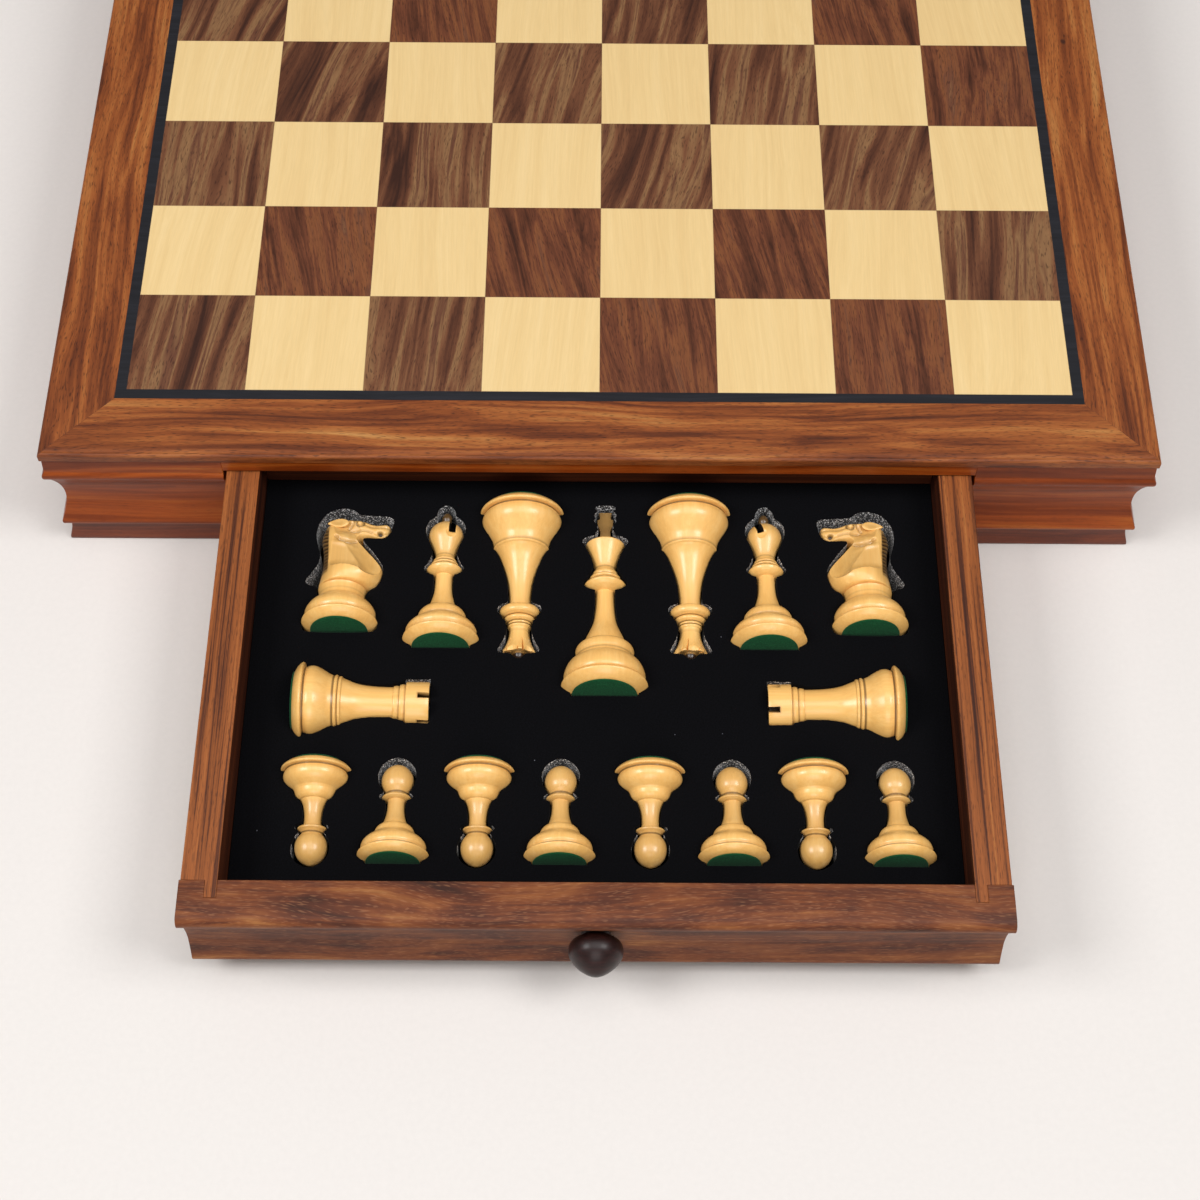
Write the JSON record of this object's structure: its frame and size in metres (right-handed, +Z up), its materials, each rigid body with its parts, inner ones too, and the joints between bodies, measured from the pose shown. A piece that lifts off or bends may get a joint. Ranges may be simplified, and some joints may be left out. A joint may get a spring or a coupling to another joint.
{
  "type": "chess box with drawers",
  "caption": "Wooden chess board on a moulded box, with a drawer at the front and back that each hold a set of men in a velvet insert.",
  "frame": {"origin": "centre of the box's underside, where it rests on a table", "axes": "+Z up, +X to the right as seen from the front drawer, +Y from the front drawer to the back drawer"},
  "size_m": [0.5352, 0.7881, 0.076],
  "materials": {
    "frame_rosewood": "satin lacquer",
    "case_rosewood": "satin lacquer",
    "plinth_rosewood": "satin lacquer",
    "drawer_rosewood": "satin lacquer",
    "ebonised_strip": "satin",
    "maple_squares": "satin lacquer",
    "walnut_squares": "satin lacquer",
    "plywood": "bare",
    "dark_turned_rosewood": "polished",
    "steel_screw": "plain",
    "black_velvet": "matt pile",
    "boxwood": "polished",
    "dark_stained_men": "polished"
  },
  "bodies": {
    "case": {"top_frame_front": "frame_rosewood", "top_frame_back": "frame_rosewood", "top_frame_left": "frame_rosewood", "top_frame_right": "frame_rosewood", "inlay_strips": "ebonised_strip", "light_squares": "maple_squares", "dark_squares": "walnut_squares", "board_core": "plywood", "top_deck": "plywood", "case_left": "case_rosewood", "case_right": "case_rosewood", "front_rail": "case_rosewood", "front_cheek_left": "case_rosewood", "front_cheek_right": "case_rosewood", "back_rail": "case_rosewood", "back_cheek_left": "case_rosewood", "back_cheek_right": "case_rosewood", "plinth_front": "plinth_rosewood", "plinth_back": "plinth_rosewood", "plinth_left": "plinth_rosewood", "plinth_right": "plinth_rosewood", "base_panel": "plywood", "centre_divider": "plywood", "drawer_guides": "plywood", "drawer_runners": "plywood"},
    "front_drawer": {"front_drawer_face": "drawer_rosewood", "front_drawer_left": "drawer_rosewood", "front_drawer_right": "drawer_rosewood", "front_drawer_back": "drawer_rosewood", "front_drawer_bottom": "plywood", "front_drawer_knob": "dark_turned_rosewood", "front_drawer_screw": "steel_screw", "front_insert": "black_velvet"},
    "back_drawer": {"back_drawer_face": "drawer_rosewood", "back_drawer_left": "drawer_rosewood", "back_drawer_right": "drawer_rosewood", "back_drawer_back": "drawer_rosewood", "back_drawer_bottom": "plywood", "back_drawer_knob": "dark_turned_rosewood", "back_drawer_screw": "steel_screw", "back_insert": "black_velvet", "dark_pieces": "dark_stained_men", "dark_pawns": "dark_stained_men"},
    "white_king": {"white_king": "boxwood"},
    "white_queen_left": {"white_queen_left": "boxwood"},
    "white_queen_right": {"white_queen_right": "boxwood"},
    "white_bishop_left": {"white_bishop_left": "boxwood"},
    "white_bishop_right": {"white_bishop_right": "boxwood"},
    "white_knight_left": {"white_knight_left": "boxwood"},
    "white_knight_right": {"white_knight_right": "boxwood"},
    "white_rook_left": {"white_rook_left": "boxwood"},
    "white_rook_right": {"white_rook_right": "boxwood"},
    "white_pawn_1": {"white_pawn_1": "boxwood"},
    "white_pawn_2": {"white_pawn_2": "boxwood"},
    "white_pawn_3": {"white_pawn_3": "boxwood"},
    "white_pawn_4": {"white_pawn_4": "boxwood"},
    "white_pawn_5": {"white_pawn_5": "boxwood"},
    "white_pawn_6": {"white_pawn_6": "boxwood"},
    "white_pawn_7": {"white_pawn_7": "boxwood"},
    "white_pawn_8": {"white_pawn_8": "boxwood"}
  },
  "joints": [
    {"name": "front_drawer_slide", "type": "slide", "parent": "case", "child": "front_drawer", "axis": [0, -1, 0], "range_m": [-0.2263, 0]},
    {"name": "back_drawer_slide", "type": "slide", "parent": "case", "child": "back_drawer", "axis": [0, 1, 0], "range_m": [0, 0.2263]},
    {"name": "white_king_lift", "type": "slide", "parent": "front_drawer", "child": "white_king", "axis": [0, 0, 1], "range_m": [0, 0.09]},
    {"name": "white_queen_left_lift", "type": "slide", "parent": "front_drawer", "child": "white_queen_left", "axis": [0, 0, 1], "range_m": [0, 0.09]},
    {"name": "white_queen_right_lift", "type": "slide", "parent": "front_drawer", "child": "white_queen_right", "axis": [0, 0, 1], "range_m": [0, 0.09]},
    {"name": "white_bishop_left_lift", "type": "slide", "parent": "front_drawer", "child": "white_bishop_left", "axis": [0, 0, 1], "range_m": [0, 0.09]},
    {"name": "white_bishop_right_lift", "type": "slide", "parent": "front_drawer", "child": "white_bishop_right", "axis": [0, 0, 1], "range_m": [0, 0.09]},
    {"name": "white_knight_left_lift", "type": "slide", "parent": "front_drawer", "child": "white_knight_left", "axis": [0, 0, 1], "range_m": [0, 0.09]},
    {"name": "white_knight_right_lift", "type": "slide", "parent": "front_drawer", "child": "white_knight_right", "axis": [0, 0, 1], "range_m": [0, 0.09]},
    {"name": "white_rook_left_lift", "type": "slide", "parent": "front_drawer", "child": "white_rook_left", "axis": [0, 0, 1], "range_m": [0, 0.09]},
    {"name": "white_rook_right_lift", "type": "slide", "parent": "front_drawer", "child": "white_rook_right", "axis": [0, 0, 1], "range_m": [0, 0.09]},
    {"name": "white_pawn_1_lift", "type": "slide", "parent": "front_drawer", "child": "white_pawn_1", "axis": [0, 0, 1], "range_m": [0, 0.09]},
    {"name": "white_pawn_2_lift", "type": "slide", "parent": "front_drawer", "child": "white_pawn_2", "axis": [0, 0, 1], "range_m": [0, 0.09]},
    {"name": "white_pawn_3_lift", "type": "slide", "parent": "front_drawer", "child": "white_pawn_3", "axis": [0, 0, 1], "range_m": [0, 0.09]},
    {"name": "white_pawn_4_lift", "type": "slide", "parent": "front_drawer", "child": "white_pawn_4", "axis": [0, 0, 1], "range_m": [0, 0.09]},
    {"name": "white_pawn_5_lift", "type": "slide", "parent": "front_drawer", "child": "white_pawn_5", "axis": [0, 0, 1], "range_m": [0, 0.09]},
    {"name": "white_pawn_6_lift", "type": "slide", "parent": "front_drawer", "child": "white_pawn_6", "axis": [0, 0, 1], "range_m": [0, 0.09]},
    {"name": "white_pawn_7_lift", "type": "slide", "parent": "front_drawer", "child": "white_pawn_7", "axis": [0, 0, 1], "range_m": [0, 0.09]},
    {"name": "white_pawn_8_lift", "type": "slide", "parent": "front_drawer", "child": "white_pawn_8", "axis": [0, 0, 1], "range_m": [0, 0.09]}
  ]
}
